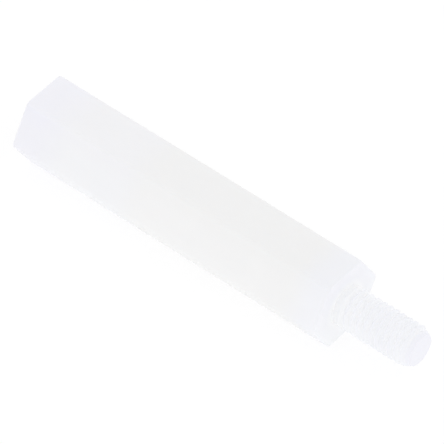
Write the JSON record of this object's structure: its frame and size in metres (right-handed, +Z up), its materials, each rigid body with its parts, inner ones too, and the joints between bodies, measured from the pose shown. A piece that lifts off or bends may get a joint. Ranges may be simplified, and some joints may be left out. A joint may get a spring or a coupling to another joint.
{
  "type": "hex standoff",
  "caption": "Male-female hexagonal nylon spacer with a short threaded stud on one end and a threaded blind socket in the other.",
  "frame": {"origin": "middle of the whole length, on the surface that the body's lowest flat lies on", "axes": "+X along the body's axis towards the stud, +Z up, square to the two horizontal flats, +Y across the body"},
  "size_m": [0.031, 0.0062, 0.0055],
  "materials": {
    "nylon": "natural undyed nylon, slightly translucent, smooth satin as moulded"
  },
  "bodies": {
    "root": {"standoff": "nylon"}
  },
  "joints": []
}
